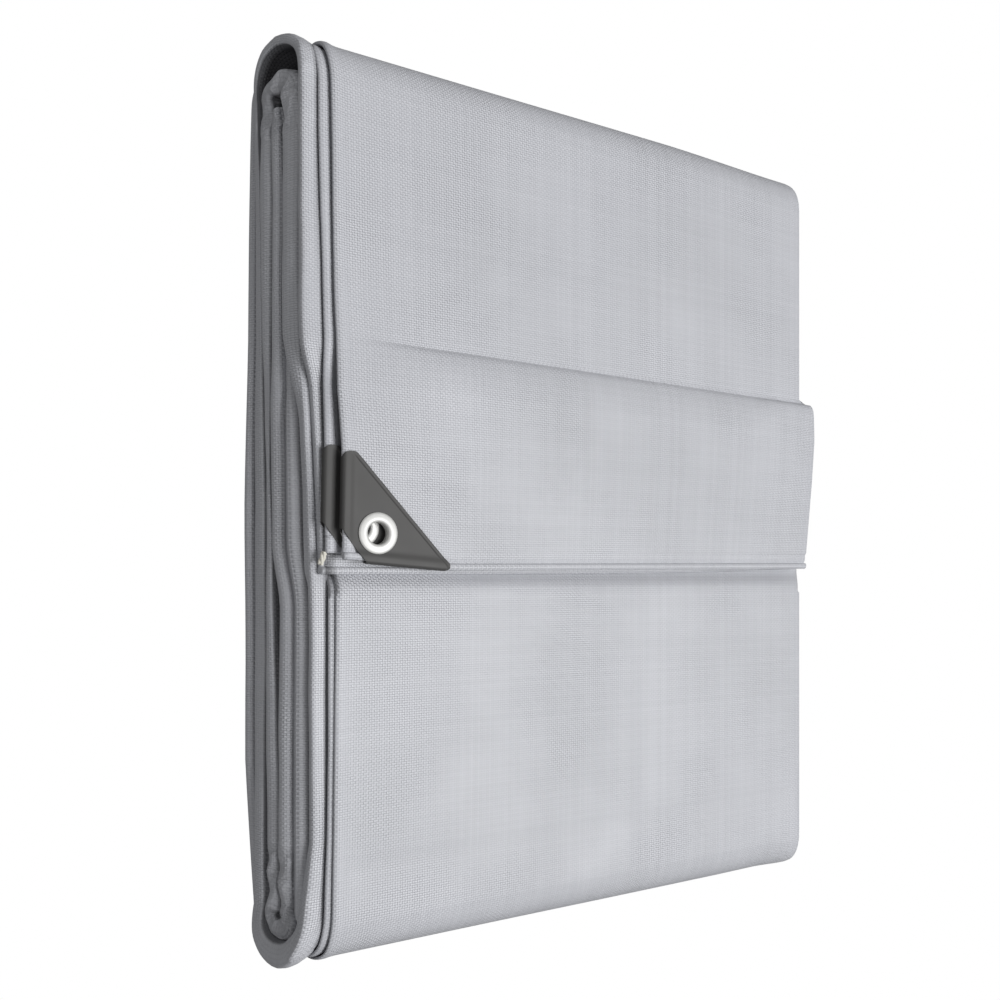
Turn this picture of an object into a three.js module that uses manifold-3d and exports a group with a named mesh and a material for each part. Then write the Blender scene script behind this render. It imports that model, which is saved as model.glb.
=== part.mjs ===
// A woven tarpaulin folded into a flat pack, lying on its back with its front face up.
// X runs across the pack, Y along it towards the upper end, Z up. Millimetres.
import * as THREE from 'three';
import Module from 'manifold-3d';
import { mergeVertices } from 'three/addons/utils/BufferGeometryUtils.js';

// Driving sizes of the pack
const PACK_LENGTH = 520;
const PACK_THICKNESS = 60;
const CLOTH = 1.2;
const FLAP_RISE = 8.1;
const FLAP_END_Y = -39;
const STEP_Y = 86;
const FOLD_X = 186.5;
const CORE_TOP_Y = 240;
const CORE_FOOT_Y = -230;

// Hem: the cloth turned over a rope along both long edges and along the end
const HEM_WIDTH = 5.5;
const HEM_HALF = 1.3;
const HEM_LIP_HALF = 0.8;

// Corner protectors and eyelets
const CORNER_X = -178;
const CORNER_LEG_X = 68.5;
const CORNER_LEG_Y = 64.5;
const CORNER_CHAMFER_X = 12;
const CORNER_CHAMFER_Y = 19.5;
const CORNER_ROUND = 8;
const CORNER_WALL = 0.9;
const CORNER_GAP = 0.28;
const RIM_WIDTH = 1.6;
const RIM_RISE = 0.5;
const RIM_INSET = 1.5;
const EYELET_INSET_X = 19.8;
const EYELET_INSET_Y = 20.3;
const EYELET_HOLE = 6.25;
const EYELET_BARREL = 6.85;
const EYELET_FLANGE = 11.7;
const EYELET_WASHER = 10.5;
const FIT_GAP = 0.3;
const REAR_SHIFT_X = -8.5;
const REAR_SHIFT_Y = 3.5;
const ROPE_RADIUS = 1.8;
const ROPE_LENGTH = 9;

// Waves along the folded edges: share of a row's sway, wavelength and start
const HEM_WAVE = { share: 0.5, length: 210, start: 0.4 };
const INNER_HEM_WAVE = { share: 0.8, length: 170, start: 1.3 };
const NOSE_WAVE = { share: 1, length: 240, start: 2.1 };

// Heights of the outer ply along the route
const FRONT_Z = PACK_THICKNESS - CLOTH / 2;
const BACK_Z = CLOTH / 2;
const FLAP_Z = FRONT_Z + FLAP_RISE;
const PRESSED_Z = FLAP_Z - 14.7;
const INNER_FRONT_Z = 44.4;
const INNER_BACK_Z = 15.6;
const INNERMOST_Z = 41;
const HEART_Z = 33.4;
const END_RADIUS = (FRONT_Z - BACK_Z) / 2;
const SHOULDER_Y = PACK_LENGTH / 2 - END_RADIUS;
const INNER_SHOULDER_Y = CORE_TOP_Y - (INNER_FRONT_Z - INNER_BACK_Z) / 2;
const INNER_HEEL_Y = CORE_FOOT_Y + (INNERMOST_Z - INNER_BACK_Z) / 2;

// The route of the folded strip, from the flap's hem to the core.
// lean is the way inward in degrees: 0 down, 90 back along Y, 180 up, 270 along Y.
// inner, near and far are how deep the other three plies lie inside the outer ply.
// outerHem, innerHem and nose are the left ends of the plies, fold is their right end.
// hem is how much of the hem's swelling shows, sway how much the left ends wave.
// On the back the hem is pressed flat, so that the pack rests on one plane.
const PLIES_FLAP = { inner: 6.3, near: 10, far: 12.2, hem: 1, sway: 0 };
const PLIES_WRAP = { inner: 3.4, near: 6.2, far: 12.6, hem: 1, sway: 2 };
const PLIES_BACK = { ...PLIES_WRAP, hem: 0 };
const PLIES_PRESSED = { inner: 3.4, near: 5.9, far: 9.6, hem: 1, sway: 1 };
const PLIES_CORE = { inner: 2.3, near: 4.6, far: 9.2, hem: 0, sway: 3 };
const PLIES_HEART = { inner: 2.2, near: 4.4, far: 6.6, hem: 0, sway: 2 };
const ROUTE = [
  { y: FLAP_END_Y, z: FLAP_Z, lean: 0, outerHem: -178, innerHem: -186.5, nose: -195, fold: 187.5,
    skew: 2.5, lag: 3.5, ...PLIES_FLAP },
  { y: 28, z: FLAP_Z, lean: 0, outerHem: -178, innerHem: -186.5, nose: -195, fold: 194,
    skew: 0, lag: 0, ...PLIES_FLAP },
  { y: STEP_Y - 2, z: FLAP_Z, lean: 0, outerHem: -178, innerHem: -186, nose: -196, fold: 193,
    skew: -4, lag: 0, ...PLIES_FLAP },
  { y: STEP_Y + 7, z: FRONT_Z, lean: 0, outerHem: -180, innerHem: -187, nose: -197, fold: FOLD_X,
    skew: -4, lag: 0, ...PLIES_WRAP },
  { y: SHOULDER_Y, z: FRONT_Z, lean: 0, outerHem: -182, innerHem: -188, nose: -198, fold: FOLD_X,
    skew: 0, lag: 0, ...PLIES_WRAP },
  { y: SHOULDER_Y, z: BACK_Z, lean: 180, outerHem: -208, innerHem: -209, nose: -211, fold: FOLD_X,
    skew: 0, lag: 0, ...PLIES_BACK },
  { y: 0, z: BACK_Z, lean: 180, outerHem: -213, innerHem: -211, nose: -210, fold: FOLD_X,
    skew: 0, lag: 0, ...PLIES_BACK },
  { y: -SHOULDER_Y, z: BACK_Z, lean: 180, outerHem: -210, innerHem: -208, nose: -207, fold: FOLD_X,
    skew: 0, lag: 0, ...PLIES_BACK },
  { y: -SHOULDER_Y, z: FRONT_Z, lean: 360, outerHem: -184, innerHem: -187, nose: -198, fold: FOLD_X,
    skew: 0, lag: 0, ...PLIES_WRAP },
  { y: FLAP_END_Y - 25, z: FRONT_Z, lean: 360, outerHem: -180, innerHem: -184, nose: -194,
    fold: FOLD_X, skew: 0, lag: 0, ...PLIES_WRAP },
  { y: FLAP_END_Y - 3, z: PRESSED_Z, lean: 360, outerHem: -181, innerHem: -185, nose: -196,
    fold: FOLD_X, skew: 0, lag: 0, ...PLIES_PRESSED },
  { y: STEP_Y - 18, z: PRESSED_Z, lean: 360, outerHem: -188, innerHem: -190, nose: -201,
    fold: FOLD_X, skew: 0, lag: 0, ...PLIES_PRESSED },
  { y: STEP_Y + 1, z: INNER_FRONT_Z, lean: 360, outerHem: -192, innerHem: -190, nose: -203,
    fold: FOLD_X, skew: 0, lag: 0, ...PLIES_CORE },
  { y: INNER_SHOULDER_Y, z: INNER_FRONT_Z, lean: 360, outerHem: -196, innerHem: -192, nose: -205,
    fold: FOLD_X, skew: 0, lag: 0, ...PLIES_CORE },
  { y: INNER_SHOULDER_Y, z: INNER_BACK_Z, lean: 540, outerHem: -200, innerHem: -196, nose: -207,
    fold: FOLD_X, skew: 0, lag: 0, ...PLIES_CORE },
  { y: INNER_HEEL_Y, z: INNER_BACK_Z, lean: 540, outerHem: -200, innerHem: -196, nose: -204,
    fold: FOLD_X, skew: 0, lag: 0, ...PLIES_CORE },
  { y: INNER_HEEL_Y, z: INNERMOST_Z, lean: 720, outerHem: -194, innerHem: -190, nose: -201,
    fold: FOLD_X, skew: 0, lag: 0, ...PLIES_CORE },
  { y: 42, z: INNERMOST_Z, lean: 720, outerHem: -194, innerHem: -190, nose: -200, fold: FOLD_X,
    skew: 0, lag: 0, ...PLIES_CORE },
  { y: 62, z: HEART_Z, lean: 720, outerHem: -196, innerHem: -192, nose: -201, fold: FOLD_X,
    skew: 0, lag: 0, ...PLIES_HEART },
  { y: 196, z: HEART_Z, lean: 720, outerHem: -196, innerHem: -192, nose: -202, fold: FOLD_X,
    skew: 0, lag: 0, ...PLIES_HEART },
];

// How finely the route is cut into sections
const LEG_STEP = 62;
const STEP_CUTS = 4;
const DEGREES_PER_CUT = 26;
const END_HEM_CUTS = [0, 1.2, HEM_WIDTH, HEM_WIDTH + 1.2];

const smooth = (t) => t * t * (3 - 2 * t);
const mix = THREE.MathUtils.lerp;
const wave = (w, along) => w.share * Math.sin((2 * Math.PI * along) / w.length + w.start);

// The way inward at a lean, as steps along Y and Z
function inward(lean) {
  const a = THREE.MathUtils.degToRad(lean);
  return { y: -Math.sin(a), z: -Math.cos(a) };
}

// One row of the route between two others, with every column mixed
function between(a, b, t) {
  const row = {};
  for (const key of Object.keys(a)) {
    row[key] = mix(a[key], b[key], t);
  }
  return row;
}

// A section on a turn about the middle of its two ends
function turned(a, b, t) {
  const row = between(a, b, t);
  const radius = Math.abs(b.z - a.z) / 2;
  const start = inward(a.lean);
  const here = inward(row.lean);
  row.y = a.y + radius * (start.y - here.y);
  row.z = a.z + radius * (start.z - here.z);
  return row;
}

// A section on a leg or a step, which leans one way throughout
function straight(a, b, t) {
  const row = between(a, b, a.z === b.z ? t : smooth(t));
  row.y = mix(a.y, b.y, t);
  return row;
}

// Where to cut one span of the route, as shares of it
function cutsOf(a, b, first) {
  let count = Math.ceil(Math.abs(b.y - a.y) / LEG_STEP);
  if (a.lean !== b.lean) {
    count = Math.ceil((b.lean - a.lean) / DEGREES_PER_CUT);
  } else if (a.z !== b.z) {
    count = STEP_CUTS;
  }
  const cuts = Array.from({ length: count }, (_, i) => i / count);
  if (!first) return cuts;
  return [...END_HEM_CUTS.map((d) => d / (b.y - a.y)), ...cuts.slice(1)];
}

// Every section of the route, each with how far along the strip it lies
function sectionsOf(route) {
  const sections = [];
  route.slice(0, -1).forEach((a, i) => {
    const b = route[i + 1];
    const place = a.lean === b.lean ? straight : turned;
    cutsOf(a, b, i === 0).forEach((t) => sections.push(place(a, b, t)));
  });
  sections.push({ ...route[route.length - 1] });
  let along = 0;
  sections.forEach((row, i) => {
    const last = sections[Math.max(i - 1, 0)];
    along += Math.hypot(row.y - last.y, row.z - last.z);
    row.outerHem += row.sway * wave(HEM_WAVE, along);
    row.innerHem += row.sway * wave(INNER_HEM_WAVE, along);
    row.nose += row.sway * wave(NOSE_WAVE, along);
    const lip = i === 0 ? HEM_LIP_HALF : HEM_HALF;
    row.endHalf = i < END_HEM_CUTS.length - 1 ? lip : CLOTH / 2;
  });
  return sections;
}

// The left edge of a hemmed ply: its lip, its swelling and where the flat cloth starts
function hemNodes(x, inset, row) {
  const half = mix(CLOTH / 2, HEM_HALF, row.hem);
  const lip = mix(CLOTH / 2, HEM_LIP_HALF, row.hem);
  return [
    { x, inset, half: Math.max(lip, row.endHalf * 0.7) },
    { x: x + 1.2, inset, half: Math.max(half, row.endHalf) },
    { x: x + HEM_WIDTH, inset, half: Math.max(half, row.endHalf) },
    { x: x + HEM_WIDTH + 1.2, inset, half: row.endHalf },
  ];
}

// A round fold at x from one depth to another, bulging to the right (1) or left (-1)
function foldNodes(x, from, to, reach, side, steps) {
  const nodes = [];
  for (let i = 0; i <= steps; i += 1) {
    const a = (Math.PI * i) / steps;
    nodes.push({
      x: x - side * reach * (1 - Math.sin(a)),
      inset: mix(from, to, (1 - Math.cos(a)) / 2),
      half: CLOTH / 2,
    });
  }
  return nodes;
}

// The middle line of the four plies: out along the outer ply, round the folds, back to the inner hem
function plyLine(row) {
  const reach = CORNER_X + CORNER_LEG_X + 4;
  const flat = (x, inset, half = CLOTH / 2) => ({ x, inset, half });
  return [
    ...hemNodes(row.outerHem, 0, row),
    flat(reach, 0, row.endHalf),
    ...foldNodes(row.fold, 0, row.far, row.far / 2, 1, 5),
    flat(0, row.far),
    ...foldNodes(row.nose, row.far, row.near, (row.far - row.near) / 2 + 1, -1, 4),
    flat(0, row.near),
    ...foldNodes(row.fold - 5, row.near, row.inner, 2, 1, 3),
    flat(reach, row.inner, row.endHalf),
    ...hemNodes(row.innerHem, row.inner, row).reverse(),
  ];
}

// The closed outline of the plies: both sides of the middle line at its own half thickness
function plyOutline(row) {
  const line = plyLine(row);
  const sides = [[], []];
  line.forEach((node, i) => {
    const before = line[Math.max(i - 1, 0)];
    const after = line[Math.min(i + 1, line.length - 1)];
    const across = new THREE.Vector2(after.x - before.x, after.inset - before.inset).normalize();
    const ply = i > line.length / 2 && node.inset < row.near ? 1 : 0;
    for (const side of [1, -1]) {
      sides[side > 0 ? 0 : 1].push({
        x: node.x - side * across.y * node.half,
        inset: node.inset + side * across.x * node.half,
        ply,
      });
    }
  });
  return [...sides[0], ...sides[1].reverse()];
}

// Where one point of a section's outline lies on the pack
function onPack(row, point) {
  const reach = CORNER_X + CORNER_LEG_X + 4;
  const beyond = THREE.MathUtils.clamp((point.x - reach) / (FOLD_X - reach), 0, 1);
  const way = inward(row.lean);
  const shift = row.skew * beyond + row.lag * point.ply * (1 - beyond);
  return [point.x, row.y + way.y * point.inset + shift, row.z + way.z * point.inset];
}

// The folded strip: its outline run along every section and closed at both ends
function stripGeometry(sections) {
  const outlines = sections.map(plyOutline);
  const round = outlines[0].length;
  const places = [];
  outlines.forEach((outline, i) => {
    outline.forEach((point) => places.push(...onPack(sections[i], point)));
  });
  const index = [];
  for (let s = 0; s < sections.length - 1; s += 1) {
    for (let k = 0; k < round; k += 1) {
      const a = s * round + k;
      const b = s * round + ((k + 1) % round);
      index.push(a, a + round, b, b, a + round, b + round);
    }
  }
  const capOf = (outline) =>
    THREE.ShapeUtils.triangulateShape(outline.map((p) => new THREE.Vector2(p.x, p.inset)), []);
  const last = (sections.length - 1) * round;
  capOf(outlines[0]).forEach(([a, b, c]) => index.push(a, c, b));
  capOf(outlines[outlines.length - 1]).forEach(([a, b, c]) => index.push(last + a, last + b, last + c));
  const geometry = new THREE.BufferGeometry();
  geometry.setAttribute('position', new THREE.Float32BufferAttribute(places, 3));
  geometry.setIndex(index);
  return geometry;
}

const wasm = await Module();
wasm.setup();

// A geometry as a solid for joining and cutting
function solid(geometry) {
  const bare = new THREE.BufferGeometry();
  const plain = geometry.index ? geometry.toNonIndexed() : geometry;
  bare.setAttribute('position', plain.getAttribute('position'));
  const merged = mergeVertices(bare, 1e-4);
  return new wasm.Manifold(
    new wasm.Mesh({
      numProp: 3,
      vertProperties: merged.attributes.position.array,
      triVerts: new Uint32Array(merged.index.array),
    }),
  );
}

// A solid as a geometry again
function geometryOf(made) {
  const mesh = made.getMesh();
  const geometry = new THREE.BufferGeometry();
  geometry.setAttribute('position', new THREE.BufferAttribute(mesh.vertProperties, 3));
  geometry.setIndex(new THREE.BufferAttribute(mesh.triVerts, 1));
  geometry.computeVertexNormals();
  return geometry;
}

// A box between two corners
function boxSolid(from, to) {
  const size = to.map((v, i) => v - from[i]);
  const box = new THREE.BoxGeometry(...size);
  return solid(box.translate(...from.map((v, i) => v + size[i] / 2)));
}

// An upright round bar between two heights
function barSolid(radius, low, high, x = 0, y = 0) {
  const bar = new THREE.CylinderGeometry(radius, radius, high - low, 40);
  return solid(bar.rotateX(Math.PI / 2).translate(x, y, (low + high) / 2));
}

// The protector's outline: a right triangle with a cut corner and two rounded tips
function cornerShape() {
  const edge = -(CORNER_GAP + CORNER_WALL);
  const right = CORNER_LEG_X + edge;
  const top = CORNER_LEG_Y + edge;
  const round = CORNER_ROUND;
  const slope = new THREE.Vector2(-CORNER_LEG_X, CORNER_LEG_Y).setLength(round);
  const shape = new THREE.Shape();
  shape.moveTo(CORNER_CHAMFER_X, edge);
  shape.lineTo(right - round, edge);
  shape.quadraticCurveTo(right, edge, right + slope.x, edge + slope.y);
  shape.lineTo(edge - slope.x, top - slope.y);
  shape.quadraticCurveTo(edge, top, edge, top - round);
  shape.lineTo(edge, CORNER_CHAMFER_Y);
  shape.closePath();
  return shape;
}

// A slab of the protector's outline, as deep as given on both sides of the cloth
function cornerSlab(half) {
  const made = new THREE.ExtrudeGeometry(cornerShape(), {
    depth: 2 * half,
    bevelEnabled: false,
    curveSegments: 5,
  });
  return solid(made.translate(0, 0, -half));
}

// The two bands along the hemmed edges, as deep as given on both sides of the cloth
function hemBands(width, half, from) {
  const far = CORNER_LEG_Y + 20;
  const along = boxSolid([from, from, -half], [width, far, half]);
  return along.add(boxSolid([from, from, -half], [far, width, half]));
}

// One corner protector: thin plates over both faces of the cloth, raised over the hems, with a rim
function cornerGeometry() {
  const plate = CLOTH / 2 + CORNER_GAP + CORNER_WALL;
  const raised = HEM_HALF + CORNER_GAP + CORNER_WALL;
  const hem = HEM_WIDTH + 1.2;
  const bands = hemBands(hem + CORNER_WALL, raised, -5).intersect(cornerSlab(raised));
  const pocket = hemBands(CORNER_LEG_Y + 20, CLOTH / 2 + CORNER_GAP, -CORNER_GAP);
  const hemPocket = hemBands(hem, HEM_HALF + CORNER_GAP, -CORNER_GAP);
  const length = Math.hypot(CORNER_LEG_X, CORNER_LEG_Y) - 3 * CORNER_ROUND;
  const rim = new THREE.BoxGeometry(length, RIM_WIDTH, RIM_RISE + CORNER_WALL / 2);
  const inset = CORNER_GAP + CORNER_WALL + RIM_INSET;
  rim
    .rotateZ(-Math.atan2(CORNER_LEG_Y, CORNER_LEG_X))
    .translate(
      CORNER_LEG_X / 2 - inset,
      CORNER_LEG_Y / 2 - inset,
      plate + RIM_RISE / 2 - CORNER_WALL / 4,
    );
  const hole = barSolid(EYELET_BARREL + FIT_GAP, -10, 10, EYELET_INSET_X, EYELET_INSET_Y);
  return geometryOf(
    cornerSlab(plate).add(bands).add(solid(rim)).subtract(pocket).subtract(hemPocket).subtract(hole),
  );
}

// One eyelet: a rolled flange in front, a barrel through the corner and a washer behind
function eyeletGeometry() {
  const seat = CLOTH / 2 + CORNER_GAP + CORNER_WALL + FIT_GAP;
  const profile = [
    [EYELET_HOLE, 0],
    [EYELET_HOLE, -seat - 0.4],
    [EYELET_BARREL, -seat - 0.7],
    [EYELET_WASHER - 0.3, -seat - 0.6],
    [EYELET_WASHER, -seat],
    [EYELET_BARREL, -seat],
    [EYELET_BARREL, seat],
    [EYELET_FLANGE, seat],
    [EYELET_FLANGE - 0.2, seat + 0.5],
    [EYELET_FLANGE - 2, seat + 1],
    [EYELET_HOLE + 1.4, seat + 1.1],
    [EYELET_HOLE + 0.4, seat + 0.8],
    [EYELET_HOLE, seat + 0.2],
    [EYELET_HOLE, 0],
  ].map(([r, h]) => new THREE.Vector2(r, h));
  const ring = mergeVertices(new THREE.LatheGeometry(profile, 36).deleteAttribute('uv'));
  return ring.rotateX(Math.PI / 2);
}

// One named mesh of the pack
function piece(name, geometry, colour, roughness, metalness = 0) {
  const material = new THREE.MeshStandardMaterial({ color: colour, roughness, metalness });
  const mesh = new THREE.Mesh(geometry, material);
  mesh.name = name;
  return mesh;
}

// Places of the two corners, front and rear, on the flap's hemmed plies
const FRONT_CORNER = new THREE.Vector3(CORNER_X, FLAP_END_Y, FLAP_Z);
const REAR_CORNER = new THREE.Vector3(
  CORNER_X + REAR_SHIFT_X,
  FLAP_END_Y + REAR_SHIFT_Y,
  FLAP_Z - PLIES_FLAP.inner,
);

// The tarp, with a hole through each hemmed ply for its eyelet
function tarpGeometry() {
  let tarp = solid(stripGeometry(sectionsOf(ROUTE)));
  for (const corner of [FRONT_CORNER, REAR_CORNER]) {
    tarp = tarp.subtract(
      barSolid(
        EYELET_BARREL + FIT_GAP,
        corner.z - CLOTH,
        corner.z + CLOTH,
        corner.x + EYELET_INSET_X,
        corner.y + EYELET_INSET_Y,
      ),
    );
  }
  return geometryOf(tarp);
}

const pack = new THREE.Group();
pack.name = 'folded_tarp';
pack.add(piece('tarp', tarpGeometry(), '#b9babd', 0.55));

for (const [place, corner] of [['front', FRONT_CORNER], ['rear', REAR_CORNER]]) {
  const protector = piece(`corner_${place}`, cornerGeometry(), '#1b1b1c', 0.5);
  protector.position.copy(corner);
  const eyelet = piece(`eyelet_${place}`, eyeletGeometry(), '#c9cacc', 0.3, 1);
  eyelet.position.set(corner.x + EYELET_INSET_X, corner.y + EYELET_INSET_Y, corner.z);
  pack.add(protector, eyelet);
}

// The end of the rope in the rear ply's hem, standing out beside its corner
const rope = piece('hem_rope', new THREE.CylinderGeometry(ROPE_RADIUS, ROPE_RADIUS, ROPE_LENGTH, 12),
  '#ded8c8', 0.85);
rope.position.set(
  REAR_CORNER.x - ROPE_RADIUS - 2 * FIT_GAP - 2.2,
  REAR_CORNER.y + 4.5,
  REAR_CORNER.z,
);
rope.rotation.z = -0.3;
pack.add(rope);

export default pack;
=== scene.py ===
# A silver-grey woven tarpaulin folded into a flat pack: its sheet, corners, finish, light and camera.
# Sizes are millimetres in the frame of the solids, and MM turns them into metres.
import math

import bmesh
import bpy
import numpy as np
from mathutils import Matrix, Vector


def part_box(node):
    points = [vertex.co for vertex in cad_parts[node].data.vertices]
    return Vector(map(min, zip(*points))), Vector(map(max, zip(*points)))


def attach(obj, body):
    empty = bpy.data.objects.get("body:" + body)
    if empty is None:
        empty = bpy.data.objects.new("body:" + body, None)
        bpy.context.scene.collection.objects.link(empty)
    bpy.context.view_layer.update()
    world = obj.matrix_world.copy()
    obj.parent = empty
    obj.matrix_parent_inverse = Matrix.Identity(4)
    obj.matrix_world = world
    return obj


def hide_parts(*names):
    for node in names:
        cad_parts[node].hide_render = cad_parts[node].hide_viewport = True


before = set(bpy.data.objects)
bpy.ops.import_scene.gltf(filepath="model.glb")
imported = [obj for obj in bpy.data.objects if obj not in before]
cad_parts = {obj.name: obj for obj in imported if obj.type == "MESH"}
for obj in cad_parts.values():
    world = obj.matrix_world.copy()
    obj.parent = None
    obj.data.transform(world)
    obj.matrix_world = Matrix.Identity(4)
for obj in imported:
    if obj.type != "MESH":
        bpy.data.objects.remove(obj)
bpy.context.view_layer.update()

MM = 0.001

# Driving sizes of the pack
PACK_LENGTH = 520
PACK_THICKNESS = 60
CLOTH = 0.8
FLAP_RISE = 8.1
FLAP_END_Y = -39
STEP_Y = 86
FOLD_X = 186.5
CORE_TOP_Y = 240
CORE_FOOT_Y = -246

# Heights of the outer ply along the route
FRONT_Z = PACK_THICKNESS - 0.6
BACK_Z = 0.6
FLAP_Z = FRONT_Z + FLAP_RISE
PRESSED_Z = FLAP_Z - 14.7
INNER_FRONT_Z = 44.4
INNER_BACK_Z = 15.6
INNERMOST_Z = 44.5
HEART_Z = 33.4
SHOULDER_Y = PACK_LENGTH / 2 - (FRONT_Z - BACK_Z) / 2
INNER_SHOULDER_Y = CORE_TOP_Y - (INNER_FRONT_Z - INNER_BACK_Z) / 2
INNER_HEEL_Y = CORE_FOOT_Y + (INNERMOST_Z - INNER_BACK_Z) / 2

# Corner protectors and their eyelets
CORNER_LEG_X = 66.5
CORNER_LEG_Y = 61
CORNER_CHAMFER_X = 14.5
CORNER_CHAMFER_Y = 17
CORNER_TOP_WIDTH = 8.5
CORNER_RIGHT_HEIGHT = 4.5
CORNER_EDGE = -1.18
CORNER_WALL = 0.9
CORNER_PLATE = 1.85
CORNER_CREST = 2.9
CREST_REACH = 8.4
CREST_SLOPE = 4.6
CORNER_CLOSING = 2
RIM_HEIGHT = 0.5
RIM_WIDTH = 1.9
RIM_SLOPE = 0.5
CORNER_TURN = math.radians(-1.2)
CORNER_SLANT = -0.06
EYELET_INSET_X = 20.6
EYELET_INSET_Y = 16.4
EYELET_HOLE = 6.25
EYELET_BARREL = 6.85
EYELET_FLANGE = 11.7
EYELET_WASHER = 10.5
EYELET_SEAT = 2.08
EYELET_MIDDLE = 0.2
CLOTH_GAP = 2.7
PLATE_GAP = 1.4

# How deep the inner, near and far plies lie inside the outer ply, the half height of the beads of
# the outer and the inner hem and how much the left ends wave. Then the nose between the near and the
# far ply: its depths, how far it is set back, how much more its near edge is, and how round it is
FLAP = dict(inner=6.3, near=10, far=12.2, bead=1.5, inner_bead=1.6, sway=0,
            nose_near=9, nose_far=13.2, back=4, slant=0, roundness=0.4)
WRAP = dict(inner=3.4, near=6.2, far=12.6, bead=1.2, inner_bead=1, sway=0.8,
            nose_near=4.8, nose_far=10, back=-0.5, slant=0, roundness=0.4)
WRAP_TURN = dict(WRAP, inner=2.8, near=5, far=11.6, bead=1, nose_near=-2.6, nose_far=2.8, back=0,
                 roundness=0.7)
WRAP_BACK = dict(WRAP, bead=0.6, inner_bead=3.4, sway=0.4, nose_near=8.4, nose_far=11.6, back=0,
                 roundness=0.3)
WRAP_WAIST = dict(WRAP_BACK, nose_near=8.8, nose_far=20)
WRAP_HEEL = dict(WRAP_BACK, nose_near=9, nose_far=18.8)
WRAP_FOOT = dict(WRAP_TURN, inner=2.4, near=4.6, far=8.4, nose_near=-2.8, nose_far=11.5, back=-2, slant=-1,
                 roundness=0.3, bead=0.6)
WRAP_KNEE = dict(WRAP, inner=2.6, bead=1, inner_bead=1, sway=0.4, nose_near=4.4, nose_far=13.5, back=-3,
                 slant=-3.5)
WRAP_CALF = dict(WRAP_KNEE, bead=0.6, inner_bead=0.7, nose_near=-0.4, nose_far=13, back=-5, slant=-9)
WRAP_LOW = dict(WRAP_KNEE, nose_near=5, nose_far=9.4, back=0, slant=0)
PRESSED = dict(WRAP_LOW, inner=3.4, near=5.9, far=9.6, bead=0.6, inner_bead=0.6,
               nose_near=-0.8, nose_far=4.8, roundness=0.3)
CORE = dict(PRESSED, inner=2.3, near=4.6, far=9.2, bead=0.5, inner_bead=0.5, sway=0.5,
            nose_near=-3.4, nose_far=10, roundness=0.5)
CORE_BACK = dict(CORE, nose_near=-2, nose_far=10.2)
CORE_WAIST = dict(CORE, nose_near=6.2, nose_far=8.8)
CORE_HEEL = dict(CORE, nose_near=5.2, nose_far=14.8)
CORE_TOE = dict(CORE, bead=1.5, nose_near=-2, nose_far=9)
CORE_LOW = dict(CORE, bead=4.4, nose_near=5.4, nose_far=13)
CORE_MIDDLE = dict(CORE, bead=5.6, nose_near=7.1, nose_far=15.2)
HEART = dict(CORE, inner=2.2, near=4.4, far=6.6, nose_near=0.5, nose_far=6.5)

# Where the left side of the pack lies at each height, at its lower and its upper end
FLANK_HEIGHTS = (0.6, 9, 20, 29, 38, 50, 60)
FLANK_LOWER = (-214, -211, -207.8, -204.7, -200.5, -191.5, -189.5)
FLANK_UPPER = (-210.6, -210, -208, -205, -201.5, -197.3, -196.3)


def fold_row(y, z, lean, outer_hem, inner_hem, plies, fold=FOLD_X, skew=0, lag=0, cut=7.5, fine=False):
    """One row of the route. lean is the way inward in degrees: 0 down, 90 back along Y, 180 up."""
    return dict(y=y, z=z, lean=lean, outer_hem=outer_hem, inner_hem=inner_hem, fold=fold,
                skew=skew, lag=lag, cut=cut, fine=float(fine), **plies)


# Where the step above the flap starts and stops
STEP_START = STEP_Y - 26
STEP_STOP = STEP_Y + 4

# Both ends of the pack, and how round they turn: 1 is round and less is squarer
END_Y = PACK_LENGTH / 2
END_Z = PACK_THICKNESS / 2
END_ROUNDNESS = 0.85
CALF = (END_Z - BACK_Z) * math.sqrt(0.5) ** END_ROUNDNESS

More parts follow.
